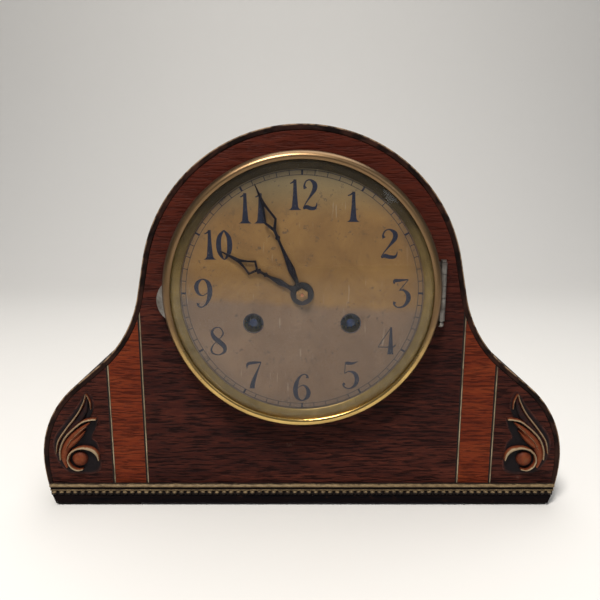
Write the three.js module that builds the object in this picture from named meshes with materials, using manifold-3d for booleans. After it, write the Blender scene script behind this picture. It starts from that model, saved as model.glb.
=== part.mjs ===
// Striking mantel clock with a "tambour" case: a rounded hood over the dial and low swept wings.
// Millimetres, +Z up, the dial faces -Y and +X is to the right of someone reading it.
import * as THREE from 'three';
import { mergeVertices } from 'three/addons/utils/BufferGeometryUtils.js';
import Module from 'manifold-3d';

const wasm = await Module();
wasm.setup();

// ---- Driving dimensions ------------------------------------------------------------------------

// Depths are measured from the face of the front panel: negative is towards the reader.
const CASE_DEPTH = 106;
const DOME_FRONT = -21.2;
const BUTTON_BACK = 110.3;
const DIAL_HEIGHT = 139;

// The curve of the case in front view, from the top of the hood down to the plinth.
const HOOD_RADIUS = 96;
const SHOULDER_LEAN = THREE.MathUtils.degToRad(11);
const WING_SLOPE = THREE.MathUtils.degToRad(50);
const TUCK_UNDER = THREE.MathUtils.degToRad(13);
const STRAIGHT_RUN = 22;
const SWEEP_RADIUS = 75;
const WING_RADIUS = 62;
const TUCK_RADIUS = 90;
const SKIN = 3.6;

const FOOT_HEIGHT = 1.8;
const PLINTH_TOP = 7;
const MOULDING_TOP = 15;
const PLINTH_HALF = 158.4;
const PLINTH_FOOT_HALF = 156.6;
const MOULDING_HALF = 159.4;
const MOULDING_PROUD = 3.2;
const PANEL_THICK = 8;
const PANEL_HOLE = 68;
const BASE_BOARD_TOP = 17;
const FOOT_INNER = 103;

const INLAY_DEEP = 1;
const STRING_WIDE = 1.8;
const STRING_INNER = 98;
const STRING_OUTER = 119;

const BEZEL_RADIUS = 81.2;
const SIGHT_RADIUS = 71;
const GLASS_RADIUS = 76.9;
const GLASS_THICK = 1.4;
const GLASS_EDGE = -12.2;
const DIAL_FACE = -8;
const DIAL_RADIUS = 72.3;
const WINDING_HOLE = 5.5;

const HINGE_X = 82.6;
const HINGE_Y = -3.2;
const HINGE_LONG = 35;
const KNUCKLE = 2.3;

const PLATE_HALF = 52;
const PLATE_LOW = -43;
const PLATE_HIGH = 46;
const FRONT_PLATE = 14;
const BACK_PLATE = 46;
const PLATE_THICK = 2;
const PIVOT_ROOM = 0.3;

const DOOR_HALF = 58;
const DOOR_SILL = 50;
const DOOR_GAP = 1;
const DOOR_HINGE_X = 58.5;
const DOOR_HINGE_Y = 108.2;
const DOOR_HINGE_LOW = 85;
const DOOR_HINGE_HIGH = 145;

// Arbor positions across and above the centre of the dial.
const CENTRE = [0, 0];
const GOING = [28.6, -18];
const STRIKE = [-28.6, -18];
const INTERMEDIATE = [19.63, 7.47];
const THIRD = [-13.16, 14.39];
const ESCAPE = [0, 26];
const PALLET = [0, 42];
const MOTION_STUD = [0, 12];
const STRIKE_SECOND = [-33.29, 8.59];
const HAMMER = [-47.5, 24];
const PENDULUM = 122;

// The hands stand a little before ten o'clock, in degrees clockwise from twelve.
const MINUTE_REST = 337;
const HOUR_REST = 298;
const MINUTE_LONG = 68;
const HOUR_LONG = 54;

// ---- Finishes ----------------------------------------------------------------------------------

const finish = (color, roughness, metalness) => new THREE.MeshStandardMaterial({ color, roughness, metalness });
const walnut = finish(0x472a20, 0.45, 0);
const redVeneer = finish(0x7e3420, 0.4, 0);
const paleString = finish(0xc0a57c, 0.5, 0);
const carvedWood = finish(0x7a4a26, 0.55, 0);
const blackWood = finish(0x16110f, 0.5, 0);
const rawWood = finish(0x8a6a45, 0.8, 0);
const agedBrass = finish(0x8a6d3c, 0.4, 0.9);
const cleanBrass = finish(0xb08d4c, 0.35, 0.95);
const dialMetal = finish(0x9c8a76, 0.5, 0.5);
const bluedSteel = finish(0x151a26, 0.35, 0.9);
const steel = finish(0x8c8c8c, 0.35, 1);
const ironBlack = finish(0x262424, 0.6, 0.6);
const copper = finish(0x9a5a38, 0.4, 0.9);
const glass = new THREE.MeshStandardMaterial({ color: 0xe8f0f0, roughness: 0.05, transparent: true, opacity: 0.25 });
const felt = finish(0x23201d, 0.95, 0);

// ---- Ways of making a piece ----------------------------------------------------------------------

// A solid that manifold can join or cut, from any closed three.js geometry.
function toSolid(geometry) {
  const bare = geometry.clone();
  bare.deleteAttribute('normal');
  bare.deleteAttribute('uv');
  const merged = mergeVertices(bare, 1e-4);
  const corners = [];
  for (let i = 0; i < merged.index.count; i += 3) {
    const [a, b, c] = [0, 1, 2].map((k) => merged.index.getX(i + k));
    if (a !== b && b !== c && c !== a) corners.push(a, b, c);
  }
  const vertProperties = Float32Array.from(merged.attributes.position.array);
  return new wasm.Manifold(new wasm.Mesh({ numProp: 3, vertProperties, triVerts: Uint32Array.from(corners) }));
}

function toGeometry(solid) {
  const mesh = solid.getMesh();
  const geometry = new THREE.BufferGeometry();
  geometry.setAttribute('position', new THREE.BufferAttribute(mesh.vertProperties, 3));
  geometry.setIndex(new THREE.BufferAttribute(mesh.triVerts, 1));
  geometry.computeVertexNormals();
  return geometry;
}

function join(...pieces) {
  return toGeometry(pieces.map(toSolid).reduce((whole, piece) => whole.add(piece)));
}

function cut(piece, ...tools) {
  return toGeometry(tools.map(toSolid).reduce((whole, tool) => whole.subtract(tool), toSolid(piece)));
}

// A board or plate with the outline of a shape in front view, between two depths.
function sawn(shape, front, back) {
  const geometry = new THREE.ExtrudeGeometry(shape, { depth: back - front, bevelEnabled: false, curveSegments: 24 });
  geometry.rotateX(Math.PI / 2);
  geometry.translate(0, back, 0);
  return geometry;
}

function block(left, right, front, back, low, high) {
  const geometry = new THREE.BoxGeometry(right - left, back - front, high - low);
  geometry.translate((left + right) / 2, (front + back) / 2, (low + high) / 2);
  return geometry;
}

// A piece turned about the front-to-back axis, from [radius, depth] pairs.
function turned(profile, segments = 16) {
  const area = profile.reduce((sum, [r, y], i) => {
    const [nextR, nextY] = profile[(i + 1) % profile.length];
    return sum + r * nextY - nextR * y;
  }, 0);
  const ordered = area > 0 ? profile : [...profile].reverse();
  const points = ordered.map(([r, y]) => new THREE.Vector2(r, y));
  if (points[0].x > 0) points.push(points[0].clone());
  return new THREE.LatheGeometry(points, segments);
}

function rod(radius, front, back, segments = 16) {
  return turned([[0, front], [radius, front], [radius, back], [0, back]], segments);
}

function tube(bore, radius, front, back, segments = 16) {
  return turned([[bore, front], [radius, front], [radius, back], [bore, back]], segments);
}

function uprightRod(x, y, radius, low, high, segments = 16) {
  const geometry = new THREE.CylinderGeometry(radius, radius, high - low, segments);
  geometry.rotateX(Math.PI / 2);
  geometry.translate(x, y, (low + high) / 2);
  return geometry;
}

function moved(geometry, x, y, z) {
  return geometry.clone().translate(x, y, z);
}

function circlePoints(radius, x, z, sides) {
  return Array.from({ length: sides }, (_, i) => {
    const angle = ((i + 0.5) * 2 * Math.PI) / sides;
    return new THREE.Vector2(x + radius * Math.cos(angle), z + radius * Math.sin(angle));
  });
}

function circleHole(radius, x = 0, z = 0, sides = 24) {
  return new THREE.Path(circlePoints(radius, x, z, sides));
}

function rectangle(left, right, low, high) {
  return new THREE.Shape([[left, low], [right, low], [right, high], [left, high]].map(([x, z]) => new THREE.Vector2(x, z)));
}

// A wheel or pinion with slim pointed teeth; one tooth stands at the angle toothAt, in degrees.
function toothed(teeth, module, toothAt, front, back, bore = 0) {
  const pitchRadius = (teeth * module) / 2;
  const root = pitchRadius - 1.15 * module;
  const tip = pitchRadius + 0.75 * module;
  const points = [];
  for (let i = 0; i < teeth; i += 1) {
    const centre = THREE.MathUtils.degToRad(toothAt) + (i * 2 * Math.PI) / teeth;
    const half = (0.2 * 2 * Math.PI) / teeth;
    points.push(new THREE.Vector2(root * Math.cos(centre - half), root * Math.sin(centre - half)));
    points.push(new THREE.Vector2(tip * Math.cos(centre), tip * Math.sin(centre)));
    points.push(new THREE.Vector2(root * Math.cos(centre + half), root * Math.sin(centre + half)));
  }
  const shape = new THREE.Shape(points);
  if (bore > 0) shape.holes.push(circleHole(bore, 0, 0, 16));
  return sawn(shape, front, back);
}

// The direction from one arbor to another, in degrees from +X towards +Z.
function bearing(from, to) {
  return THREE.MathUtils.radToDeg(Math.atan2(to[1] - from[1], to[0] - from[0]));
}

// Where a pinion's tooth stands so that the wheel's tooth, pointing at it, finds a gap.
function inMesh(pinion, wheel, teeth) {
  return bearing(pinion, wheel) + 180 / teeth;
}

// ---- The assembly --------------------------------------------------------------------------------

const clock = new THREE.Group();
clock.position.y = -(DOME_FRONT + BUTTON_BACK) / 2;

const dialAxis = new THREE.Group();
dialAxis.position.z = DIAL_HEIGHT;
clock.add(dialAxis);

function add(group, name, geometry, material) {
  const mesh = new THREE.Mesh(geometry, material);
  mesh.name = name;
  group.add(mesh);
  return mesh;
}

// A group whose origin is on one of the movement's arbors.
function arborAt([x, z]) {
  const group = new THREE.Group();
  group.position.set(x, 0, z);
  dialAxis.add(group);
  return group;
}

// ---- Case ------------------------------------------------------------------------------------------

// The right half of the case outline, a given distance inside the outer skin, from the top down.
function halfOutline(inset) {
  const points = [];
  const put = (x, z) => points.push(new THREE.Vector2(x, z));
  const hood = HOOD_RADIUS - inset;
  for (let i = 0; i < 16; i += 1) {
    const angle = Math.PI / 2 + ((SHOULDER_LEAN - Math.PI / 2) * i) / 16;
    put(hood * Math.cos(angle), DIAL_HEIGHT + hood * Math.sin(angle));
  }
  let x = hood * Math.cos(SHOULDER_LEAN);
  let z = DIAL_HEIGHT + hood * Math.sin(SHOULDER_LEAN);
  put(x, z);
  const straight = (lean, length) => {
    x += length * Math.sin(lean);
    z -= length * Math.cos(lean);
    put(x, z);
  };
  // An arc that turns from one lean to another; a positive bend curves outward, away from the case.
  const arc = (radius, from, to, steps, bend) => {
    const [startX, startZ] = [x, z];
    for (let i = 1; i <= steps; i += 1) {
      const lean = from + ((to - from) * i) / steps;
      x = startX + bend * radius * (Math.cos(from) - Math.cos(lean));
      z = startZ - bend * radius * (Math.sin(lean) - Math.sin(from));
      put(x, z);
    }
  };
  straight(SHOULDER_LEAN, STRAIGHT_RUN);
  arc(SWEEP_RADIUS + inset, SHOULDER_LEAN, WING_SLOPE, 8, 1);
  straight(WING_SLOPE, STRAIGHT_RUN);
  arc(WING_RADIUS - inset, WING_SLOPE, 0, 8, -1);
  arc(TUCK_RADIUS - inset, 0, -TUCK_UNDER, 3, -1);
  straight(-TUCK_UNDER, (z - PLINTH_TOP) / Math.cos(TUCK_UNDER));
  return points;
}

function wholeOutline(inset) {
  const right = halfOutline(inset);
  const left = right.slice(1).map((p) => new THREE.Vector2(-p.x, p.y)).reverse();
  return [...left, ...right];
}

const skinShape = new THREE.Shape([...wholeOutline(0), ...wholeOutline(SKIN).reverse()]);
add(clock, 'case_wrap', sawn(skinShape, 0, CASE_DEPTH), walnut);

const frontShape = new THREE.Shape(wholeOutline(SKIN));
frontShape.holes.push(circleHole(PANEL_HOLE, 0, DIAL_HEIGHT, 48));
const grooveInner = STRING_INNER - STRING_WIDE / 2;
const grooveOuter = STRING_OUTER + STRING_WIDE / 2;
const grooves = [-1, 1].map((side) => {
  const edges = [side * grooveInner, side * grooveOuter].sort((a, b) => a - b);
  return block(edges[0], edges[1], -1, INLAY_DEEP, MOULDING_TOP, DIAL_HEIGHT);
});
add(clock, 'front_panel', cut(sawn(frontShape, 0, PANEL_THICK), ...grooves), walnut);

// An upright strip of veneer let into the front, its top end following the curve of the case.
function inlay(side, inner, outer) {
  const [left, right] = [side * inner, side * outer].sort((a, b) => a - b);
  const strip = toSolid(block(left, right, 0, INLAY_DEEP, MOULDING_TOP, DIAL_HEIGHT));
  const field = toSolid(sawn(new THREE.Shape(wholeOutline(SKIN)), -1, INLAY_DEEP + 1));
  return toGeometry(strip.intersect(field));
}

for (const [side, label] of [[-1, 'left'], [1, 'right']]) {
  const innerEdge = STRING_INNER + STRING_WIDE / 2;
  const outerEdge = STRING_OUTER - STRING_WIDE / 2;
  add(clock, `stringing_${label}_inner`, inlay(side, grooveInner, innerEdge), paleString);
  add(clock, `band_${label}`, inlay(side, innerEdge, outerEdge), redVeneer);
  add(clock, `stringing_${label}_outer`, inlay(side, outerEdge, grooveOuter), paleString);
}

const innerDeck = rectangle(-151, 151, PLINTH_TOP, BASE_BOARD_TOP);
add(clock, 'base_board', sawn(innerDeck, PANEL_THICK, CASE_DEPTH - PANEL_THICK), rawWood);

const plinthShape = new THREE.Shape([
  new THREE.Vector2(-PLINTH_FOOT_HALF, FOOT_HEIGHT),
  new THREE.Vector2(PLINTH_FOOT_HALF, FOOT_HEIGHT),
  new THREE.Vector2(PLINTH_HALF, PLINTH_TOP),
  new THREE.Vector2(-PLINTH_HALF, PLINTH_TOP),
]);
add(clock, 'plinth', sawn(plinthShape, -1.6, CASE_DEPTH), blackWood);

add(clock, 'base_moulding', sawn(rectangle(-MOULDING_HALF, MOULDING_HALF, PLINTH_TOP, MOULDING_TOP),
  -MOULDING_PROUD, 0), paleString);

for (const [side, label] of [[-1, 'left'], [1, 'right']]) {
  const [inner, outer] = [side * FOOT_INNER, side * (PLINTH_FOOT_HALF - 0.6)].sort((a, b) => a - b);
  add(clock, `foot_${label}`, block(inner, outer, 0, CASE_DEPTH - 2, 0, FOOT_HEIGHT), felt);
}

// Carved scroll and leaves on each wing, sawn to outline from one piece of wood.
function carvingShape(side) {
  const edge = [
    [141, 21.5], [149, 25], [154.5, 35], [156.5, 47], [154.5, 58], [147.5, 68], [139, 75.5], [131.5, 74],
    [135, 66], [127.5, 57.5], [134, 51], [133.5, 39], [126.5, 31], [133, 24.5],
  ];
  const curve = new THREE.CatmullRomCurve3(edge.map(([x, z]) => new THREE.Vector3(side * x, z, 0)), true);
  return new THREE.Shape(curve.getPoints(42).slice(0, -1).map((p) => new THREE.Vector2(p.x, p.y)));
}
add(clock, 'carving_left', sawn(carvingShape(-1), -4, 0), carvedWood);
add(clock, 'carving_right', sawn(carvingShape(1), -4, 0), carvedWood);

// ---- Back of the case ------------------------------------------------------------------------------

function doorOutline(gap) {
  const half = DOOR_HALF - gap;
  const shape = new THREE.Shape();
  shape.moveTo(-half, DOOR_SILL + gap);
  shape.lineTo(half, DOOR_SILL + gap);
  shape.absarc(0, DIAL_HEIGHT, half, 0, Math.PI, false);
  return shape;
}

const backShape = new THREE.Shape(wholeOutline(SKIN));
backShape.holes.push(doorOutline(0));
const BACK_FACE = CASE_DEPTH;
const buttonX = -(DOOR_HALF + 6.5);
const buttonHole = moved(rod(2.3, BACK_FACE - 5.3, BACK_FACE + 1, 12), buttonX, 0, DIAL_HEIGHT);
add(clock, 'back_board', cut(sawn(backShape, BACK_FACE - PANEL_THICK, BACK_FACE), buttonHole), rawWood);
add(clock, 'back_door', sawn(doorOutline(DOOR_GAP), BACK_FACE - 6.5, BACK_FACE - 0.5), rawWood);

// One leaf of a butt hinge with upright axis: its plate, and the knuckles numbered in turns.
function hingeLeaf({ x, y, radius, bore, low, high, count, turns, arm, plate }) {
  const pitch = (high - low) / count;
  const pieces = [block(...plate, low, high)];
  for (const turn of turns) {
    const from = low + turn * pitch + (turn > 0 ? 0.15 : 0);
    const to = low + (turn + 1) * pitch - (turn < count - 1 ? 0.15 : 0);
    pieces.push(uprightRod(x, y, radius, from, to, 12));
    pieces.push(block(...arm, from, to));
  }
  const drill = uprightRod(x, y, bore, low - 1, high + 1, 12);
  return cut(join(...pieces), drill);
}

const doorHinge = {
  x: DOOR_HINGE_X, y: DOOR_HINGE_Y, radius: 2, bore: 1.1, low: DOOR_HINGE_LOW, high: DOOR_HINGE_HIGH, count: 3,
};
add(clock, 'rear_hinge_leaf_case', hingeLeaf({
  ...doorHinge, turns: [0, 2],
  arm: [DOOR_HINGE_X, 61.2, BACK_FACE, DOOR_HINGE_Y - 0.6], plate: [60.9, 72, BACK_FACE, BACK_FACE + 0.9],
}), cleanBrass);

const doorPin = uprightRod(DOOR_HINGE_X, DOOR_HINGE_Y, 0.8, DOOR_HINGE_LOW - 1, DOOR_HINGE_HIGH + 1, 10);
const doorKnuckle = hingeLeaf({
  ...doorHinge, turns: [1],
  arm: [55.8, DOOR_HINGE_X, BACK_FACE + 0.2, DOOR_HINGE_Y - 0.6],
  plate: [45, 56, BACK_FACE - 0.5, BACK_FACE + 0.6],
});
const pinWasher = uprightRod(DOOR_HINGE_X, DOOR_HINGE_Y, 1.2, 114, 116, 12);
add(clock, 'rear_hinge_leaf_door', join(doorKnuckle, doorPin, pinWasher), cleanBrass);

// The turn button stands upright, clear of the door; a quarter turn lays it across the door's edge.
const button = new THREE.Group();
button.position.set(buttonX, 0, DIAL_HEIGHT);
clock.add(button);
add(button, 'turn_button', join(
  rod(2, BACK_FACE - 5, BACK_FACE + 1, 12),
  block(-2.5, 2.5, BACK_FACE + 0.3, BACK_FACE + 2.3, -9.5, 9.5),
  turned([[0, BACK_FACE + 1], [2.6, BACK_FACE + 1], [3.4, BACK_FACE + 3], [2.4, BUTTON_BACK], [0, BUTTON_BACK]], 12),
), cleanBrass);

// ---- Dial ------------------------------------------------------------------------------------------

// A stepped ring on the panel: flange outside, wall for the bezel to close over, ledge for the dial.
add(dialAxis, 'dial_pan', turned([
  [76.5, 0], [76.5, -1.5], [74, -1.5], [74, DIAL_FACE], [72.6, DIAL_FACE], [72.6, DIAL_FACE + 1],
  [65.5, DIAL_FACE + 1], [65.5, DIAL_FACE + 2.2], [71.4, DIAL_FACE + 2.2], [71.4, 0],
], 48), agedBrass);

const dialShape = new THREE.Shape(circlePoints(DIAL_RADIUS, 0, 0, 48));
dialShape.holes.push(circleHole(3.8));
dialShape.holes.push(circleHole(WINDING_HOLE, ...GOING));
dialShape.holes.push(circleHole(WINDING_HOLE, ...STRIKE));
add(dialAxis, 'dial_plate', sawn(dialShape, DIAL_FACE, DIAL_FACE + 1), dialMetal);

// ---- Bezel: rolled brass door with a domed glass -----------------------------------------------------

add(dialAxis, 'bezel_ring', turned([
  [79.4, -1.8], [79.8, -5.6], [BEZEL_RADIUS, -8.4], [80.8, -11.1], [79.4, -13.2], [77.7, -14], [75.7, -13.2],
  [77.2, -12.5], [77.4, -9.4], [77.5, -1.8],
], 56), agedBrass);

add(dialAxis, 'sight_ring', turned([
  [77.1, -10.5], [SIGHT_RADIUS, -8.9], [SIGHT_RADIUS, -8.4], [77.2, -9.8],
], 56), agedBrass);

// The dome is part of a sphere, so its front and back are arcs from the rim to the axis.
function domeDepth(radius, rim) {
  const rise = GLASS_EDGE - DOME_FRONT;
  const sphere = (GLASS_RADIUS ** 2 + rise ** 2) / (2 * rise);
  return rim - (Math.sqrt(sphere ** 2 - radius ** 2) - Math.sqrt(sphere ** 2 - GLASS_RADIUS ** 2));
}
const rings = [0, 25, 50, GLASS_RADIUS];
const outerArc = rings.map((r) => [r, domeDepth(r, GLASS_EDGE)]);
const innerArc = rings.map((r) => [r, domeDepth(r, GLASS_EDGE + GLASS_THICK)]).reverse();
add(dialAxis, 'bezel_glass', turned([...outerArc, ...innerArc], 40), glass);

const hingeRise = HINGE_LONG / 2;
const bezelHinge = {
  x: HINGE_X, y: HINGE_Y, radius: KNUCKLE, bore: 1.25, low: -hingeRise, high: hingeRise, count: 5,
};
add(dialAxis, 'hinge_leaf_case', hingeLeaf({
  ...bezelHinge, turns: [0, 2, 4],
  arm: [79.9, HINGE_X, HINGE_Y + 0.4, 0], plate: [77.4, 80, -1.2, 0],
}), steel);

const bezelBody = turned([
  [0, 0], [79.44, 0], [79.44, -1.8], [79.84, -5.6], [BEZEL_RADIUS + 0.04, -8.4], [BEZEL_RADIUS + 0.04, -20], [0, -20],
], 56);
add(dialAxis, 'hinge_leaf_bezel', cut(hingeLeaf({
  ...bezelHinge, turns: [1, 3],
  arm: [79, HINGE_X, HINGE_Y - 1.9, HINGE_Y - 0.2], plate: [77, 80.15, HINGE_Y - 2.9, HINGE_Y - 0.2],
}), bezelBody), steel);

add(dialAxis, 'hinge_pin', join(
  uprightRod(HINGE_X, HINGE_Y, 1, -hingeRise - 0.8, hingeRise + 0.8, 12),
  uprightRod(HINGE_X, HINGE_Y, 1.8, hingeRise + 0.3, hingeRise + 1.6, 12),
  moved(new THREE.SphereGeometry(1.9, 12, 8), HINGE_X, HINGE_Y, -hingeRise - 2.1),
), steel);

// A crescent of sheet metal soldered to the rim, for a fingernail.
const tabDisc = moved(rod(14, -5.5, -4, 40), -71.6, 0, -5);
add(dialAxis, 'pull_tab', cut(tabDisc, bezelBody), steel);

// ---- Movement frame ----------------------------------------------------------------------------------

const ARBOR_HOLES = [
  [INTERMEDIATE, 0.8], [THIRD, 0.8], [ESCAPE, 0.8], [PALLET, 1], [STRIKE_SECOND, 0.8], [HAMMER, 1.2],
  [CENTRE, 1.5], [GOING, 2.4], [STRIKE, 2.4],
];
const plateShape = rectangle(-PLATE_HALF, PLATE_HALF, PLATE_LOW, PLATE_HIGH);
plateShape.holes.push(...ARBOR_HOLES.map(([at, radius]) => circleHole((radius + PIVOT_ROOM) * 1.06, ...at, 9)));
const motionStud = moved(rod(0.9, 5.8, FRONT_PLATE + 0.5, 12), MOTION_STUD[0], 0, MOTION_STUD[1]);
add(dialAxis, 'movement_plate_front',
  join(sawn(plateShape, FRONT_PLATE, FRONT_PLATE + PLATE_THICK), motionStud), cleanBrass);

// The back plate carries the cock from which the pendulum hangs.
const cock = block(-6, 6, BACK_PLATE + 1, BACK_PLATE + 12, PALLET[1] + 3.8, PALLET[1] + 9);
const cockFoot = block(-6, 6, BACK_PLATE, BACK_PLATE + 3.5, PALLET[1] + 2.2, PALLET[1] + 9);
add(dialAxis, 'movement_plate_back',
  join(sawn(plateShape, BACK_PLATE, BACK_PLATE + PLATE_THICK), cock, cockFoot), cleanBrass);

for (const [x, z, label] of [[-47, 40, 'top_left'], [47, 40, 'top_right'], [-47, -38, 'low_left'], [47, -38, 'low_right']]) {
  const pillar = turned([
    [0, FRONT_PLATE + PLATE_THICK], [2.5, FRONT_PLATE + PLATE_THICK], [2.5, 24], [1.9, 26], [1.9, 36], [2.5, 38],
    [2.5, BACK_PLATE], [0, BACK_PLATE],
  ], 12);
  add(arborAt([x, z]), `pillar_${label}`, pillar, cleanBrass);
}

// Bent steel straps carry the movement on the back of the front panel.
for (const [z, label] of [[38, 'top'], [-34, 'bottom']]) {
  const bar = block(-76, 76, FRONT_PLATE - 1.6, FRONT_PLATE, z - 5, z + 5);
  const feet = [[-76, -64], [64, 76]].map(([l, r]) => block(l, r, PANEL_THICK, FRONT_PLATE - 1, z - 5, z + 5));
  add(dialAxis, `movement_strap_${label}`, join(bar, ...feet), steel);
}

// ---- Hands and motion work ---------------------------------------------------------------------------

// A pierced hand, pointing up: its outline is [distance, half width] pairs as shares of its length.
function hand(length, boss, eye, sides, loop) {
  const right = sides.map(([along, half]) => new THREE.Vector2(half * length, along * length));
  const left = right.map((p) => new THREE.Vector2(-p.x, p.y)).reverse();
  const shape = new THREE.Shape([new THREE.Vector2(length * 0.02, 0), ...right, ...left, new THREE.Vector2(-length * 0.02, 0)]);
  shape.holes.push(new THREE.Path(loop.map(([along, half]) => new THREE.Vector2(half * length, along * length))));
  return (front, back) => cut(
    join(sawn(shape, front, back), rod(boss, front, back, 24)),
    rod(eye, front - 1, back + 1, 24),
  );
}

const minuteHand = hand(MINUTE_LONG, 3.7, 2.15, [
  [0.1, 0.014], [0.23, 0.031], [0.45, 0.011], [0.5, 0.011], [0.52, 0.024], [0.54, 0.012], [0.585, 0.014],
  [0.67, 0.057], [0.83, 0.016], [1, 0.004],
], [[0.615, 0], [0.672, 0.036], [0.8, 0], [0.672, -0.036]]);
const hourHand = hand(HOUR_LONG, 6.8, 3.35, [
  [0.17, 0.02], [0.27, 0.034], [0.39, 0.014], [0.42, 0.014], [0.44, 0.03], [0.46, 0.014], [0.5, 0.014],
  [0.52, 0.036], [0.54, 0.016], [0.6, 0.089], [0.76, 0.022], [1, 0.005],
], [[0.56, 0], [0.605, 0.06], [0.73, 0], [0.605, -0.06]]);

const minuteGroup = new THREE.Group();
minuteGroup.rotation.y = THREE.MathUtils.degToRad(MINUTE_REST);
dialAxis.add(minuteGroup);
add(minuteGroup, 'minute_hand', minuteHand(-11.4, -10.8), bluedSteel);

const hourGroup = new THREE.Group();
hourGroup.rotation.y = THREE.MathUtils.degToRad(HOUR_REST);
dialAxis.add(hourGroup);
add(hourGroup, 'hour_hand', hourHand(-9.8, -9.2), bluedSteel);

add(dialAxis, 'hand_nut', tube(1.15, 3.7, -13.9, -11.7, 6), agedBrass);

const shafts = arborAt(CENTRE);
add(shafts, 'centre_arbor', join(
  rod(0.95, -15, 17, 12),
  rod(1.5, 16.3, 45.7, 12),
  rod(1.3, 45, 50, 12),
  toothed(8, 0.75, inMesh(CENTRE, INTERMEDIATE, 8), 39.2, 43.5),
), copper);
add(shafts, 'centre_wheel', toothed(72, 0.5, bearing(CENTRE, THIRD), 18, 19.2, 1.7), cleanBrass);
add(shafts, 'cannon_pinion', cut(join(
  rod(2, -11.5, 12.5, 16),
  toothed(10, 0.6, inMesh(CENTRE, MOTION_STUD, 10), 9.5, 12.5),
), rod(1.2, -20, 20, 16)), steel);
add(shafts, 'hour_wheel', cut(join(
  rod(3.2, -10.2, 8.6, 20),
  toothed(40, 0.48, bearing(CENTRE, MOTION_STUD), 6.5, 7.7),
), rod(2.35, -20, 20, 20)), cleanBrass);
add(arborAt(MOTION_STUD), 'minute_wheel', cut(join(
  toothed(30, 0.6, bearing(MOTION_STUD, CENTRE), 10, 11.2),
  toothed(10, 0.48, inMesh(MOTION_STUD, CENTRE, 10), 6.2, 10.5),
), rod(1.2, 0, 20, 12)), cleanBrass);

// ---- Going train -------------------------------------------------------------------------------------

// A thin arbor between the plates, with its pivots in their holes.
function arbor(radius, pivot = 0.8) {
  return join(
    rod(radius, FRONT_PLATE + PLATE_THICK + 0.3, BACK_PLATE - 0.3, 12),
    rod(pivot, FRONT_PLATE + 0.2, BACK_PLATE + PLATE_THICK - 0.2, 12),
  );
}

function barrel(toothAt) {
  return cut(join(rod(18.5, 22, 36.5, 28), toothed(65, 0.72, toothAt, 36, 38)), rod(3.1, 10, 50, 16));
}

// The square that takes the key, the arbor through the barrel, and the ratchet wheel on the plate.
function windingArbor() {
  return join(
    rod(2.4, DIAL_FACE + 2, BACK_PLATE + PLATE_THICK + 1, 12),
    toothed(20, 0.8, 0, FRONT_PLATE - 2.2, FRONT_PLATE - 0.4),
  );
}

const goingGroup = arborAt(GOING);
add(goingGroup, 'going_barrel', barrel(bearing(GOING, INTERMEDIATE)), cleanBrass);
add(goingGroup, 'going_winding_arbor', windingArbor(), steel);

add(arborAt(INTERMEDIATE), 'intermediate_wheel', join(
  arbor(1.2),
  toothed(10, 0.72, inMesh(INTERMEDIATE, GOING, 10), 34.6, 39.2),
  toothed(48, 0.75, bearing(INTERMEDIATE, CENTRE), 40.5, 41.7),
), cleanBrass);

add(arborAt(THIRD), 'third_wheel', join(
  arbor(0.8),
  toothed(6, 0.5, inMesh(THIRD, CENTRE, 6), 17, 20.5),
  toothed(72, 0.45, bearing(THIRD, ESCAPE), 30, 31.2),
), cleanBrass);

// Escape wheel: raked saw teeth.
function escapeWheel(teeth, radius) {
  const points = [];
  for (let i = 0; i < teeth; i += 1) {
    const angle = (i * 2 * Math.PI) / teeth;
    const heel = angle + (0.55 * 2 * Math.PI) / teeth;
    points.push(new THREE.Vector2(radius * Math.cos(angle), radius * Math.sin(angle)));
    points.push(new THREE.Vector2((radius - 1.8) * Math.cos(heel), (radius - 1.8) * Math.sin(heel)));
  }
  return new THREE.Shape(points);
}
add(arborAt(ESCAPE), 'escape_wheel', join(
  arbor(0.8),
  toothed(6, 0.45, inMesh(ESCAPE, THIRD, 6), 29, 32.5),
  sawn(escapeWheel(36, 13), 24, 25),
), cleanBrass);

// ---- Pendulum ----------------------------------------------------------------------------------------

const swing = arborAt(PALLET);
const anchorShape = new THREE.Shape([
  [-1.8, 2.4], [1.8, 2.4], [9.6, -1.6], [11.2, -4.2], [8.7, -5], [7.2, -3.2], [0, 0.4 - 1.6], [-7.2, -3.2],
  [-8.7, -5], [-11.2, -4.2], [-9.6, -1.6],
].map(([x, z]) => new THREE.Vector2(x, z)));
add(swing, 'pallets', join(
  sawn(anchorShape, 23.2, 25.8),
  rod(1, FRONT_PLATE + 0.3, 51.5, 12),
  block(-1, 1, 50, 51.4, -34, 0),
  block(-2.2, 2.2, 50, 52.6, -36, -33),
), steel);
add(swing, 'pendulum_rod', join(
  block(-2, 2, 53.4, 54.6, 17 - PENDULUM + 0.5, 3.4),
  rod(3, 52.8, 55.2, 12),
), steel);
add(swing, 'pendulum_bob', moved(turned([
  [0, 49], [13, 49.6], [16.4, 52.4], [17, 54], [16.4, 55.6], [13, 58.4], [0, 59],
], 36), 0, 0, -PENDULUM), cleanBrass);

// ---- Strike ------------------------------------------------------------------------------------------

const strikeGroup = arborAt(STRIKE);
add(strikeGroup, 'strike_barrel', barrel(bearing(STRIKE, STRIKE_SECOND)), cleanBrass);
add(strikeGroup, 'strike_winding_arbor', windingArbor(), steel);

add(arborAt(STRIKE_SECOND), 'strike_wheel', join(
  arbor(1.2),
  toothed(10, 0.72, inMesh(STRIKE_SECOND, STRIKE, 10), 34.6, 39.2),
  toothed(48, 0.54, 0, 40.5, 41.7),
), cleanBrass);

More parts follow.
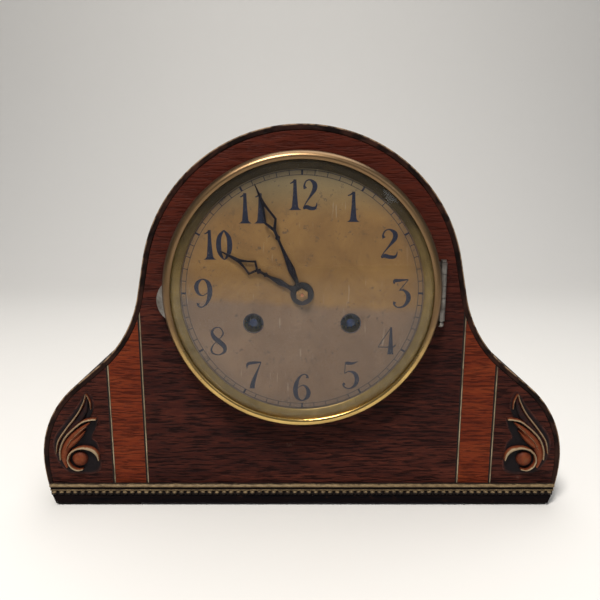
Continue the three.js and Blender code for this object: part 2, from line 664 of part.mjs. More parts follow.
// The hammer hangs behind the back plate, its arm slanting out to a head above the two gong rods.
const HEAD = [-27.5, -117];
const armLean = Math.atan2(HEAD[0], HEAD[1]);
const arm = block(-1.5, 1.5, 60, 62, 0, Math.hypot(...HEAD));
arm.rotateY(armLean);
add(arborAt(HAMMER), 'hammer', join(
  rod(1.2, FRONT_PLATE + 0.3, 66, 12),
  rod(3.5, 58, 64, 12),
  arm,
  moved(rod(6, 59, 86, 20), HEAD[0], 0, HEAD[1]),
), steel);

add(clock, 'gong_block', block(-137, -113, 60, 90, BASE_BOARD_TOP, 44), ironBlack);
for (const [y, right, label] of [[69, 118, 'front'], [79, 96, 'rear']]) {
  const gong = new THREE.CylinderGeometry(1.5, 1.5, right + 113, 12);
  gong.rotateZ(Math.PI / 2);
  gong.translate((right - 113) / 2, y, 36);
  add(clock, `gong_rod_${label}`, gong, steel);
}

export default clock;
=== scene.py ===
# %% [markdown]
# # A striking mantel clock
# The clock's frame, with every body and joint, is already made as simple solids. This lesson
# dresses it: each cell rebuilds one piece at the fineness the eye expects, or gives a solid the
# finish of the real thing. Sizes are in millimetres in the lists and become metres in the mesh.

# %% Load the frame
import math
import bmesh
import bpy
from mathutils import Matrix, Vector


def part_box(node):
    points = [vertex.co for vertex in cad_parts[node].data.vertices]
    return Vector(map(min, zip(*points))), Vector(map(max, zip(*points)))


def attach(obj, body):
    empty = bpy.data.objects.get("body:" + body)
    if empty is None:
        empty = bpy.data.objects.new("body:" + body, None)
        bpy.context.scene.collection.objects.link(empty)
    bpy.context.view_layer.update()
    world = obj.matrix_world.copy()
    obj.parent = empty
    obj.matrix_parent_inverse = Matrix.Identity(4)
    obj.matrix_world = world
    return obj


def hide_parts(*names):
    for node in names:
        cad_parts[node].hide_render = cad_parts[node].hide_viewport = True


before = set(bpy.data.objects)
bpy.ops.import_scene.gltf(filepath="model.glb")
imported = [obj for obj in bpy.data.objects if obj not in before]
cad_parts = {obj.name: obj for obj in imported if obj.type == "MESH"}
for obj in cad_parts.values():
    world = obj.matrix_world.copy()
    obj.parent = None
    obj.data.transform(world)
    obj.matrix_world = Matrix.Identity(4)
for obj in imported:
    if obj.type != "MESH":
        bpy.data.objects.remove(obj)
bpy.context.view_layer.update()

MM = 0.001
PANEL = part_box("front_panel")[0].y
DIAL_Z = sum(corner.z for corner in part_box("bezel_ring")) / 2 / MM
DEPTH = (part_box("case_wrap")[1].y - PANEL) / MM
print("panel face", round(PANEL, 5), "dial centre", round(DIAL_Z, 2), "case depth", round(DEPTH, 2))

# %% [markdown]
# ## The room
# A clock on a shelf is seen from a little above. The camera looks down by eleven and a half degrees
# through a lens as long as its sensor is wide, from only a little over a third of a metre.

# %% Camera
camera_data = bpy.data.cameras.new("camera")
camera_data.lens, camera_data.sensor_width = 36, 36
camera = bpy.data.objects.new("camera", camera_data)
camera.location = (-0.0012, PANEL - 0.3509, 0.2045)
camera.rotation_euler = (math.radians(90 - 11.45), 0, 0)
bpy.context.scene.collection.objects.link(camera)
bpy.context.scene.camera = camera
print("camera at", [round(v, 4) for v in camera.location])


# %% [markdown]
# ## Writing shaders as sums
# A finish is easier to read as arithmetic than as a picture of wires. `Flow` wraps one output socket:
# adding or multiplying it lays down a Math node. `Finish` owns a material and makes every other kind
# of node through one method.

# %% Flow and Finish
class Flow:
    """An output socket of a finish; sums on it become Math nodes."""

    def __init__(self, finish, socket):
        self.finish, self.socket = finish, socket

    def maths(self, operation, first, second=0.0, third=0.0):
        return self.finish.node("ShaderNodeMath", {"operation": operation}, {0: first, 1: second, 2: third})

    def __add__(self, other):
        return self.maths("ADD", self, other)

    def __sub__(self, other):
        return self.maths("SUBTRACT", self, other)

    def __rsub__(self, other):
        return self.maths("SUBTRACT", other, self)

    def __mul__(self, other):
        return self.maths("MULTIPLY", self, other)

    def __pow__(self, other):
        return self.maths("POWER", self, other)

    __radd__, __rmul__ = __add__, __mul__

    def clip(self):
        return self.finish.node("ShaderNodeClamp", {}, {0: self})

    def above(self, low, high):
        """0 below low, 1 above high, and a soft step between."""
        return self.finish.node(
            "ShaderNodeMapRange", {"interpolation_type": "SMOOTHSTEP"}, {0: self, 1: low, 2: high, 3: 0.0, 4: 1.0})


class Finish:
    """A material with one main shader, built up by expressions."""

    def __init__(self, name, slot):
        self.material = bpy.data.materials.new(name)
        self.material.use_nodes = True
        self.slot = slot
        self.tree = self.material.node_tree
        self.shader = self.tree.nodes["Principled BSDF"]

    def node(self, kind, settings, inputs, output=0):
        made = self.tree.nodes.new(kind)
        for key, value in settings.items():
            if key == "stops":
                self.set_stops(made.color_ramp, value)
            else:
                setattr(made, key, value)
        for key, value in inputs.items():
            self.feed(made.inputs[key], value)
        return Flow(self, made.outputs[output])

    def set_stops(self, ramp, stops):
        while len(ramp.elements) > 1:
            ramp.elements.remove(ramp.elements[-1])
        for index, (place, colour) in enumerate(stops):
            stop = ramp.elements[0] if index == 0 else ramp.elements.new(place)
            stop.position, stop.color = place, (*colour, 1)

    def feed(self, socket, value):
        if isinstance(value, Flow):
            self.tree.links.new(value.socket, socket)
        else:
            socket.default_value = (*value, 1) if socket.type == "RGBA" and len(value) == 3 else value

    def place(self, stretch=(1, 1, 1)):
        """Where a point lies on the piece, in metres, stretched before it reaches a texture."""
        here = self.node("ShaderNodeTexCoord", {}, {}, "Object")
        return self.node("ShaderNodeVectorMath", {"operation": "MULTIPLY"}, {0: here, 1: stretch})

    def along(self, stretch=(1, 1, 1)):
        """The same, from the piece's own run, which follows a bent board round its curve."""
        here = self.node("ShaderNodeAttribute", {"attribute_name": "run"}, {}, "Vector")
        return self.node("ShaderNodeVectorMath", {"operation": "MULTIPLY"}, {0: here, 1: stretch})

    def axis(self, name):
        here = self.node("ShaderNodeTexCoord", {}, {}, "Object")
        return self.node("ShaderNodeSeparateXYZ", {}, {0: here}, name)

    def mark(self, name):
        """A number painted on the mesh, point by point."""
        return self.node("ShaderNodeAttribute", {"attribute_name": name}, {}, "Fac")

    def noise(self, where, scale, detail=3.0, rough=0.5, twist=0.0):
        return self.node("ShaderNodeTexNoise", {}, {
            "Vector": where, "Scale": scale, "Detail": detail, "Roughness": rough, "Distortion": twist})

    def mix(self, share, base, over):
        return self.node("ShaderNodeMix", {"data_type": "RGBA"}, {0: share, 6: base, 7: over}, 2)

    def ramp(self, share, *stops):
        return self.node("ShaderNodeValToRGB", {"stops": stops}, {0: share})

    def relief(self, height, depth):
        """Raises the surface by height; depth is how far, in metres."""
        bump = self.node("ShaderNodeBump", {}, {"Height": height, "Distance": depth, "Strength": 1.0})
        self.feed(self.shader.inputs["Normal"], bump)
        return self

    def set(self, **values):
        for key, value in values.items():
            self.feed(self.shader.inputs[key.replace("_", " ")], value)
        return self


# %% [markdown]
# ## Floor and light
# The floor runs into a pale backdrop on a wide curve, so no corner line crosses behind the clock. One
# small strong lamp from above and in front throws the bezel's shadow down the oak; two large weak ones
# keep the hollows readable.

# %% Floor, backdrop and lamps
def backdrop():
    """A floor that bends up into a wall, far behind the clock."""
    profile = [(-4.0, 0.0), (0.7, 0.0)]
    for step in range(1, 13):
        turn = math.radians(90 * step / 12)
        profile.append((0.7 + 0.6 * math.sin(turn), 0.6 - 0.6 * math.cos(turn)))
    profile.append((1.3, 3.0))
    verts = [(x, y, z) for y, z in profile for x in (-3, 3)]
    faces = [(i, i + 1, i + 3, i + 2) for i in range(0, len(verts) - 2, 2)]
    mesh = bpy.data.meshes.new("backdrop")
    mesh.from_pydata(verts, [], faces)
    mesh.shade_smooth()
    made = bpy.data.objects.new("backdrop", mesh)
    bpy.context.scene.collection.objects.link(made)
    paper = Finish("backdrop_paper", "felt")
    fibre = paper.noise(paper.place((1, 1, 1)), 40, 4, 0.6)
    paper.set(Base_Color=paper.mix(fibre * 0.06, (0.66, 0.65, 0.63), (0.5, 0.49, 0.47)), Roughness=0.85 + fibre * 0.1)
    mesh.materials.append(paper.material)
    return made


def lamp(name, place, aim, size, power, colour):
    """A square soft lamp that shines from place towards aim."""
    light = bpy.data.lights.new(name, "AREA")
    light.size, light.energy, light.color = size, power, colour
    made = bpy.data.objects.new(name, light)
    made.location = place
    made.rotation_euler = (Vector(aim) - Vector(place)).to_track_quat("-Z", "Y").to_euler()
    bpy.context.scene.collection.objects.link(made)
    return made


backdrop()
lamp("key", (-0.25, -0.70, 1.20), (0, 0, 0.1), 0.32, 22, (1.0, 0.96, 0.91))
lamp("fill", (0.8, -0.9, 0.9), (0, 0, 0.1), 0.8, 2.2, (0.95, 0.97, 1.0))
lamp("top", (0.1, 0.35, 1.3), (0, 0, 0.1), 1.0, 9, (1.0, 0.98, 0.95))
room = bpy.data.worlds.new("room")
room.use_nodes = True
room.node_tree.nodes["Background"].inputs["Color"].default_value = (0.82, 0.85, 0.9, 1)
room.node_tree.nodes["Background"].inputs["Strength"].default_value = 0.2
bpy.context.scene.world = room
bpy.context.scene.view_settings.view_transform = "Standard"


# %% [markdown]
# ## Making meshes
# Three ways of working cover nearly the whole clock. A turned piece is a profile spun about the
# front-to-back axis, a sawn piece is an outline given a thickness with softened edges, and a swept
# piece carries a section along a path.

# %% Pieces
def piece(name, verts, faces, finish, body, stands_for=(), angle=35, marks=None, run=None):
    """A mesh from points in millimetres: across, behind the panel face, above the table."""
    mesh = bpy.data.meshes.new(name)
    mesh.from_pydata([(x * MM, PANEL + y * MM, z * MM) for x, y, z in verts], [], faces)
    for label, values in (marks or {}).items():
        mesh.attributes.new(label, "FLOAT", "POINT").data.foreach_set("value", values)
    if run:
        flat = [c * MM for point in run for c in point]
        mesh.attributes.new("run", "FLOAT_VECTOR", "POINT").data.foreach_set("vector", flat)
    work = bmesh.new()
    work.from_mesh(mesh)
    bmesh.ops.remove_doubles(work, verts=work.verts, dist=1e-7)
    bmesh.ops.recalc_face_normals(work, faces=work.faces)
    work.to_mesh(mesh)
    work.free()
    return settle(bpy.data.objects.new(name, mesh), finish, body, stands_for, angle)


def settle(made, finish, body, stands_for=(), angle=35):
    """Gives an object its finish, its place on a body and the solids that it stands for."""
    if made.name not in bpy.context.scene.collection.objects:
        bpy.context.scene.collection.objects.link(made)
    made.data.materials.clear()
    made.data.materials.append(finish.material)
    made.data.shade_smooth()
    made.data.set_sharp_from_angle(angle=math.radians(angle))
    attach(made, body)
    if stands_for:
        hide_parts(*stands_for)
    return made


def dress(node, finish, edge=0.0, angle=35):
    """Keeps a solid's shape, softens its edges and gives it a finish."""
    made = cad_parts[node]
    made.data.materials.clear()
    made.data.materials.append(finish.material)
    made.data.shade_smooth()
    made.data.set_sharp_from_angle(angle=math.radians(angle))
    if edge:
        soften(made, edge)
    return made


def soften(made, edge, segments=2):
    bevel = made.modifiers.new("soft_edges", "BEVEL")
    bevel.width, bevel.segments, bevel.limit_method = edge * MM, segments, "ANGLE"
    bevel.angle_limit = math.radians(40)
    bevel.harden_normals = True
    return made


def ring_faces(rows, columns, closed_rows=False, closed_columns=True):
    """Quads over a grid of points laid out row by row."""
    faces = []
    for row in range(rows if closed_rows else rows - 1):
        for column in range(columns if closed_columns else columns - 1):
            below, beside = (row + 1) % rows, (column + 1) % columns
            faces.append((row * columns + column, row * columns + beside,
                          below * columns + beside, below * columns + column))
    return faces


def turned(profile, centre=(0.0, None), segments=128, closed=True):
    """Points and faces of a profile of (radius, depth) spun about a front-to-back axis."""
    x, z = centre[0], DIAL_Z if centre[1] is None else centre[1]
    verts = []
    for radius, depth in profile:
        for step in range(segments):
            turn = 2 * math.pi * step / segments
            verts.append((x + radius * math.sin(turn), depth, z + radius * math.cos(turn)))
    return verts, ring_faces(len(profile), segments, closed_rows=closed)


def rounded(points, radius, steps=4, closed=True):
    """Replaces each corner of a profile by a short arc."""
    done = []
    count = len(points)
    for index, point in enumerate(points):
        here = Vector(point)
        if not closed and index in (0, count - 1):
            done.append(tuple(here))
            continue
        before, after = Vector(points[index - 1]), Vector(points[(index + 1) % count])
        reach = min(radius, (here - before).length * 0.45, (after - here).length * 0.45)
        start = here + (before - here).normalized() * reach
        finish = here + (after - here).normalized() * reach
        for step in range(steps + 1):
            t = step / steps
            done.append(tuple(start * (1 - t) ** 2 + here * 2 * t * (1 - t) + finish * t ** 2))
    return done


def smooth_line(points, steps=8, closed=False):
    """A soft curve through points of any size, sampled evenly between them."""
    count = len(points)
    done = []
    spans = count if closed else count - 1
    for index in range(spans):
        near = [points[(index + k) % count] if closed else points[max(0, min(count - 1, index + k))]
                for k in (-1, 0, 1, 2)]
        for step in range(steps):
            t = step / steps
            done.append(tuple(
                0.5 * (2 * b + (c - a) * t + (2 * a - 5 * b + 4 * c - d) * t * t + (3 * b - a - 3 * c + d) * t ** 3)
                for a, b, c, d in zip(*near)))
    if not closed:
        done.append(tuple(points[-1]))
    return done


def sawn(name, loops, front, back, finish, body, stands_for=(), edge=0.0, angle=35, segments=2, shift=(0, 0)):
    """A board cut to one outer loop of (across, up) points, with the other loops as holes."""
    curve = bpy.data.curves.new(name, "CURVE")
    curve.dimensions, curve.fill_mode = "2D", "BOTH"
    curve.extrude = (back - front) / 2 * MM - edge * MM
    curve.bevel_depth, curve.bevel_resolution = edge * MM, segments
    curve.offset = -edge * MM
    for loop in loops:
        spline = curve.splines.new("POLY")
        spline.points.add(len(loop) - 1)
        spline.use_cyclic_u = True
        for point, (x, z) in zip(spline.points, loop):
            point.co = (x * MM, z * MM, 0, 1)
    holder = bpy.data.objects.new(name + "_outline", curve)
    bpy.context.scene.collection.objects.link(holder)
    bpy.context.view_layer.update()
    mesh = bpy.data.meshes.new_from_object(holder.evaluated_get(bpy.context.evaluated_depsgraph_get()))
    bpy.data.objects.remove(holder)
    middle = PANEL + (front + back) / 2 * MM
    for vert in mesh.vertices:
        x, z, y = vert.co
        vert.co = (x + shift[0] * MM, middle - y, z + shift[1] * MM)
    mesh.name = name
    work = bmesh.new()
    work.from_mesh(mesh)
    bmesh.ops.remove_doubles(work, verts=work.verts, dist=1e-7)
    bmesh.ops.recalc_face_normals(work, faces=work.faces)
    work.to_mesh(mesh)
    work.free()
    return settle(bpy.data.objects.new(name, mesh), finish, body, stands_for, angle)


def circle(radius, x=0.0, z=0.0, sides=64):
    return [(x + radius * math.cos(2 * math.pi * i / sides), z + radius * math.sin(2 * math.pi * i / sides))
            for i in range(sides)]


print("helpers ready")


# %% [markdown]
# ## Wood finishes
# The front is oak, stained dark and varnished, with its grain lying level. Oak shows long streaks and
# short open pores, so the colour comes from a noise pulled out along the grain and the pores from a much
# finer one. Both also dent the surface a little, which is what makes the varnish glint unevenly.

# %% Finishes for the case
def oak(name, slot, deep, middle, light, route="place", pore=0.8):
    """Stained oak; its grain runs along the first axis of place() or along()."""
    wood = Finish(name, slot)
    where = getattr(wood, route)
    broad = wood.noise(where((24, 60, 210)), 1.0, 4.0, 0.6, 0.3)
    band = wood.noise(where((70, 90, 760)), 1.0, 3.0, 0.6, 0.3)
    fine = wood.noise(where((150, 200, 1200)), 1.0, 3.0, 0.6)
    cloud = wood.noise(where((14, 14, 20)), 1.0, 3.0, 0.6)
    pores = band.above(0.47, 0.60)
    share = (broad * 0.7 + fine * 0.5 + cloud * 0.45 - 0.33).clip()
    tone = wood.ramp(share, (0.25, deep), (0.5, middle), (0.78, light))
    tone = wood.mix(pores * pore, tone, tuple(c * 0.3 for c in deep))
    scuff = wood.noise(where((70, 90, 90)), 1.0, 6.0, 0.75).above(0.64, 0.74)
    tone = wood.mix(scuff * 0.13, tone, (0.34, 0.25, 0.18))
    wood.relief(broad * 0.4 + fine * 0.3 - pores * 0.9, 0.00025)
    wood.set(Base_Color=tone, Roughness=0.4 + fine * 0.22 + scuff * 0.2, Specular_IOR_Level=0.07)
    return wood, tone


front_oak, front_tone = oak("stained_oak", "dark_stained_oak", (0.012, 0.003, 0.003),
                            (0.038, 0.009, 0.006), (0.080, 0.019, 0.011))
redder = front_oak.axis("Z").above(0.10, 0.20) * 0.5
front_oak.set(Base_Color=front_oak.mix(redder, front_tone, (0.065, 0.009, 0.003)))

skin_oak, skin_tone = oak("stained_oak_skin", "dark_stained_oak", (0.006, 0.0025, 0.002),
                          (0.016, 0.006, 0.004), (0.045, 0.016, 0.010), "along")
# The outer front corner is painted pale: a painted highlight along the rounded edge, broken up like rubbed wear.
edge_highlight_and_wear = skin_oak.mark("worn") * skin_oak.noise(skin_oak.place((1, 1, 1)), 160, 4, 0.7).above(0.36, 0.6)
skin_oak.set(Base_Color=skin_oak.mix(edge_highlight_and_wear * 0.75, skin_tone, (0.30, 0.20, 0.12)))

red_veneer, _ = oak("red_veneer", "red_veneer", (0.060, 0.009, 0.004), (0.120, 0.019, 0.006),
                    (0.175, 0.034, 0.010), pore=0.6)

black_wood = Finish("black_stained_wood", "black_wood")
streak = black_wood.noise(black_wood.place((30, 90, 420)), 1.0, 4, 0.6)
knock = black_wood.noise(black_wood.place((1, 1, 1)), 210, 4, 0.7).above(0.62, 0.72)
black_wood.relief(streak, 0.0002).set(
    Base_Color=black_wood.mix(knock * 0.3, black_wood.ramp(
        streak, (0.3, (0.001, 0.001, 0.002)), (0.7, (0.006, 0.003, 0.003))), (0.045, 0.018, 0.01)),
    Roughness=0.5 + streak * 0.3, Specular_IOR_Level=0.04)


def plain_timber(name, slot, route="place"):
    """Softwood left as it was planed, yellowed and dusty."""
    wood = Finish(name, slot)
    where = getattr(wood, route)
    year = wood.noise(where((26, 500, 9)), 1.0, 3, 0.5, 0.4)
    fibre = wood.noise(where((900, 900, 25)), 1.0, 2, 0.5)
    dust = wood.noise(where((25, 25, 25)), 1.0, 5, 0.65)
    tone = wood.ramp(year * 0.75 + fibre * 0.3, (0.35, (0.20, 0.115, 0.050)), (0.7, (0.42, 0.28, 0.14)))
    wood.relief(year * 0.5 + fibre, 0.00018)
    return wood.set(Base_Color=wood.mix(dust.above(0.5, 0.75) * 0.45, tone, (0.13, 0.09, 0.06)),
                    Roughness=0.62 + fibre * 0.2)


raw_wood = plain_timber("planed_softwood", "raw_wood")
print("wood finishes", front_oak.material.name, skin_oak.material.name, red_veneer.material.name)

# %% [markdown]
# ## Bone-pale lines
# Each inlaid line is a thin strip of holly with a black line glued to its left side. The strip is what
# people rub with polish, so it survives in patches and the black shows between them.

# %% Stringing
def stringing(name, centre):
    """Holly and black line side by side; centre is where the pair lies across the case, in mm."""
    line = Finish(name, "pale_stringing")
    side = line.axis("X") * 1000 - centre
    black = side.above(0.2, 0.0) + side.above(0.72, 0.85)
    lost = line.noise(line.place((300, 60, 60)), 1.0, 4, 0.7).above(0.5, 0.66)
    # Darker towards the top of the case.
    darker_up_the_case = line.axis("Z").above(0.04, 0.12)
    pale = line.ramp(line.noise(line.place((900, 400, 120)), 1.0, 3, 0.6),
                     (0.3, (0.10, 0.075, 0.045)), (0.65, (0.32, 0.26, 0.165)))
    pale = line.mix((lost * 0.6 + darker_up_the_case * 0.45).clip(), pale, (0.07, 0.045, 0.030))
    line.relief(black * -1.0 + lost * -0.5, 0.0002)
    tone = line.mix(black.clip(), pale, (0.010, 0.006, 0.005))
    return line.set(Base_Color=tone, Roughness=0.42 + lost * 0.2, Specular_IOR_Level=0.12)


for node, centre in (("stringing_left_outer", -119), ("stringing_left_inner", -98),
                     ("stringing_right_inner", 98), ("stringing_right_outer", 119)):
    dress(node, stringing(node.replace("stringing", "line"), centre))
for node in ("band_left", "band_right"):
    dress(node, red_veneer)
dress("front_panel", front_oak)
dress("plinth", black_wood, 0.5)
for node in ("base_board", "back_board", "back_door"):
    dress(node, raw_wood, 0.6)
print("dressed the boards and inlay")

# %% [markdown]
# ## The bent skin
# One thin oak sheet is bent over formers from the left foot, over the hood, to the right foot. Its front
# edge is rounded and stands round the panel as a dark rim whose outer corner is painted pale: a painted
# highlight along the edge, broken up like rubbed wear. The grain follows the sheet, so each point also
# remembers how far round the bend it lies.

# %% Case skin
HOOD, SKIN, LEAN, SLOPE, TUCK = 96.0, 3.6, math.radians(11), math.radians(50), math.radians(13)


def half_outline(inset, fine=5):
    """Right half of the case's outline, from the top down."""
    radius = HOOD - inset
    turns = [math.pi / 2 + (LEAN - math.pi / 2) * i / (10 * fine) for i in range(10 * fine + 1)]
    points = [(radius * math.cos(t), DIAL_Z + radius * math.sin(t)) for t in turns]

    def straight(lean, length):
        x, z = points[-1]
        points.extend((x + length * math.sin(lean) * i / 4, z - length * math.cos(lean) * i / 4)
                      for i in range(1, 5))

    def arc(radius, start, stop, steps, bend):
        x, z = points[-1]
        for i in range(1, steps + 1):
            lean = start + (stop - start) * i / steps
            points.append((x + bend * radius * (math.cos(start) - math.cos(lean)),
                           z - bend * radius * (math.sin(lean) - math.sin(start))))

    straight(LEAN, 22)
    arc(75 + inset, LEAN, SLOPE, 5 * fine, 1)
    straight(SLOPE, 22)
    arc(62 - inset, SLOPE, 0, 6 * fine, -1)
    arc(90 - inset, 0, -TUCK, 3 * fine, -1)
    straight(-TUCK, (points[-1][1] - 7) / math.cos(TUCK))
    return points


def whole_outline(inset):
    right = half_outline(inset)
    return [(-x, z) for x, z in reversed(right[1:])] + right


section = rounded([(0, 0), (SKIN, 0), (SKIN, DEPTH), (0, DEPTH)], 0.9, 4)
rims = {inset: whole_outline(inset) for inset, _ in section}
count = len(rims[0])
verts, run, worn = [], [], []
for inset, depth in section:
    travelled = 0.0
    rim = rims[inset]
    for index, (x, z) in enumerate(rim):
        if index:
            travelled += math.dist(rims[section[0][0]][index], rims[section[0][0]][index - 1])
        verts.append((x, depth, z))
        run.append((travelled, inset, depth))
        # 1 on the outer front corner, where the pale painted highlight and wear go.
        worn.append(1.0 if depth < 0.8 and inset < 0.75 else 0.0)
faces = ring_faces(len(section), count, closed_rows=True, closed_columns=False)
for end in (0, count - 1):
    faces.append([row * count + end for row in range(len(section))])
piece("case_skin", verts, faces, skin_oak, "case", ["case_wrap"], marks={"worn": worn}, run=run)
print("skin points", len(verts), "round the bend", round(travelled), "mm")

# %% [markdown]
# ## The beaded moulding
# Along the foot runs a brass-pale moulding: two reeds with a dark quirk between them, and under them a
# string of beads struck with one cutter. The tops and upper sides are painted pale, a painted highlight along
# with rubbed wear, and the quirk and undersides are painted black, painted shade along with dried polish.

# %% Base moulding
moulding = Finish("moulding_painted_light_and_wear", "pale_stringing")
height = moulding.mark("worn")
speckle = moulding.noise(moulding.place((300, 700, 700)), 1.0, 4, 0.7)
# Pale on the reed crests and the upper sides of the beads: painted highlight along with wear. Black in the quirk and
# under the beads: painted shade along with dried polish.
painted_light_and_rub = (height + (speckle - 0.5) * 0.9).above(0.3, 0.75)
moulding.relief(speckle, 0.00018).set(
    Base_Color=moulding.mix(painted_light_and_rub, (0.010, 0.006, 0.005), moulding.ramp(
        speckle, (0.3, (0.065, 0.042, 0.020)), (0.7, (0.235, 0.165, 0.085)))),
    Roughness=0.62 - painted_light_and_rub * 0.2, Specular_IOR_Level=0.15)

HALF, PROUD = 159.4, 3.2
# The third number of each point sets how pale it is painted: high on the reed crests (painted highlight with wear),
# below zero in the quirk (painted shade with polish).
profile = [(0.0, 7.0, 0), (-0.9, 7.0, 0), (-0.9, 10.5, 0), (-1.6, 10.55, 0.2), (-2.3, 10.7, 0.7), (-2.4, 11.2, 0.75),
           (-1.7, 11.5, 0.1), (-1.3, 12.0, -0.2), (-1.6, 12.9, 0.0), (-2.7, 13.2, 0.6), (-PROUD, 13.7, 0.9),
           (-3.1, 14.4, 0.9), (-2.5, 14.9, 0.7), (-1.6, 15.0, 0.4), (0.0, 15.0, 0.1)]
verts = [(x, y, z) for y, z, _ in profile for x in (-HALF, HALF)]
marks = [w for _, _, w in profile for _ in (0, 1)]
faces = ring_faces(len(profile), 2, closed_rows=True, closed_columns=False)
faces += [[2 * i + side for i in range(len(profile))] for side in (0, 1)]
BEADS, BEAD_ROWS, BEAD_COLUMNS = 71, 5, 10
for bead in range(BEADS):
    middle = -HALF + (bead + 0.5) * 2 * HALF / BEADS
    start = len(verts)
    for row in range(BEAD_ROWS):
        rise = math.radians(90 * row / BEAD_ROWS)
        for column in range(BEAD_COLUMNS):
            turn = 2 * math.pi * column / BEAD_COLUMNS
            verts.append((middle + 1.85 * math.cos(rise) * math.cos(turn),
                          -0.85 - 1.7 * math.sin(rise),
                          8.8 + 1.65 * math.cos(rise) * math.sin(turn)))
            # Higher on each bead's upper side, lower underneath: painted highlight above and painted shade below,
            # with wear.
            marks.append(0.30 * math.sin(rise) + 0.85 * math.sin(turn) * math.cos(rise))
    faces += [tuple(start + i for i in face) for face in ring_faces(BEAD_ROWS, BEAD_COLUMNS)]
    verts.append((middle, -2.55, 8.8))
    marks.append(0.3)
    last = start + (BEAD_ROWS - 1) * BEAD_COLUMNS
    faces += [(last + c, last + (c + 1) % BEAD_COLUMNS, len(verts) - 1) for c in range(BEAD_COLUMNS)]
piece("beaded_moulding", verts, faces, moulding, "case", ["base_moulding"], marks={"worn": marks}, angle=50)
print("beads", BEADS)

# %% [markdown]
# ## Carved scrolls
# Each wing ends in a scroll carved from a thin oak plate: a ball in a curled rim, and two long leaves that
# sweep up from it. Knife-thin ribs edge the leaves. Every part is swept along its own spine, and the height
# of a point decides whether it is rubbed pale, still orange, or black; the black at the foot of each ridge and
# in the sunk ground is painted shade along with old polish.

# %% Carvings
carved = Finish("carved_oak", "carved_wood")
lift = carved.mark("worn")
scratch = carved.noise(carved.place((1, 1, 1)), 420, 4, 0.65)
# Low marks, at the foot of each ridge, go black: painted shade along with old polish. High crests go pale with wear.
body_tone = carved.ramp(lift + (scratch - 0.5) * 0.5,
                        (0.10, (0.006, 0.004, 0.005)), (0.34, (0.045, 0.009, 0.005)),
                        (0.62, (0.135, 0.030, 0.010)), (0.76, (0.13, 0.048, 0.02)), (0.92, (0.26, 0.19, 0.115)))
# The sunk ground turns black towards its middle: painted shade along with old polish.
sunk = carved.mark("sunk")
vein = carved.noise(carved.place((60, 60, 600)), 1.0, 4, 0.6)
ground_tone = carved.mix((sunk + (vein - 0.5) * 0.8).above(0.25, 0.75), carved.ramp(
    vein, (0.35, (0.010, 0.004, 0.004)), (0.65, (0.065, 0.018, 0.012))), (0.005, 0.003, 0.004))
body_tone = carved.mix(sunk.above(0.0, 0.02), body_tone, ground_tone)
carved.relief(scratch, 0.0003).set(Base_Color=body_tone, Roughness=0.4 + scratch * 0.3, Specular_IOR_Level=0.12)


class Carving:
    """Gathers swept and domed parts of one scroll into one mesh."""

    def __init__(self, side):
        self.side, self.verts, self.faces, self.worn, self.sunk = side, [], [], [], []

    def add(self, verts, faces, worn, sunk=None):
        start = len(self.verts)
        self.verts += [(self.side * x, y, z) for x, y, z in verts]
        self.faces += [tuple(start + i for i in face) for face in faces]
        self.worn += worn
        self.sunk += sunk or [0.0] * len(verts)

    def sweep(self, spine, rise, crest, rim, across=8):
        """A ridge along (across, up, half width) points; rise is its height off the panel."""
        path = smooth_line(spine, 8)
        verts, worn = [], []
        for index, (x, z, half) in enumerate(path):
            before, after = path[max(0, index - 1)], path[min(len(path) - 1, index + 1)]
            run = Vector((after[0] - before[0], after[1] - before[1])).normalized()
            for step in range(across + 1):
                turn = math.pi * step / across
                out = -math.cos(turn)
                verts.append((x - run.y * half * out, -0.4 - rise * math.sin(turn) ** 0.8, z + run.x * half * out))
                # Pale at the crest, dark where the ridge meets the panel: the dark foot is painted shade.
                worn.append(rim + (crest - rim) * math.sin(turn))
            verts.append((x, -0.3, z))
            worn.append(0)
        self.add(verts, ring_faces(len(path), across + 2, closed_columns=True)
                 + [list(range(across + 2)), list(range(len(verts) - across - 2, len(verts)))], worn)

    def ball(self, x, z, radius, rise, crest):
        verts, worn = [], []
        for row in range(9):
            tip = math.radians(88 * row / 8)
            for column in range(28):
                turn = 2 * math.pi * column / 28
                verts.append((x + radius * math.cos(tip) * math.cos(turn), -0.3 - rise * math.sin(tip),
                              z + radius * math.cos(tip) * math.sin(turn)))
                worn.append(0.2 + (crest - 0.2) * math.sin(tip))
        self.add(verts, ring_faces(9, 28) + [list(range(28)), list(range(8 * 28, 9 * 28))], worn)


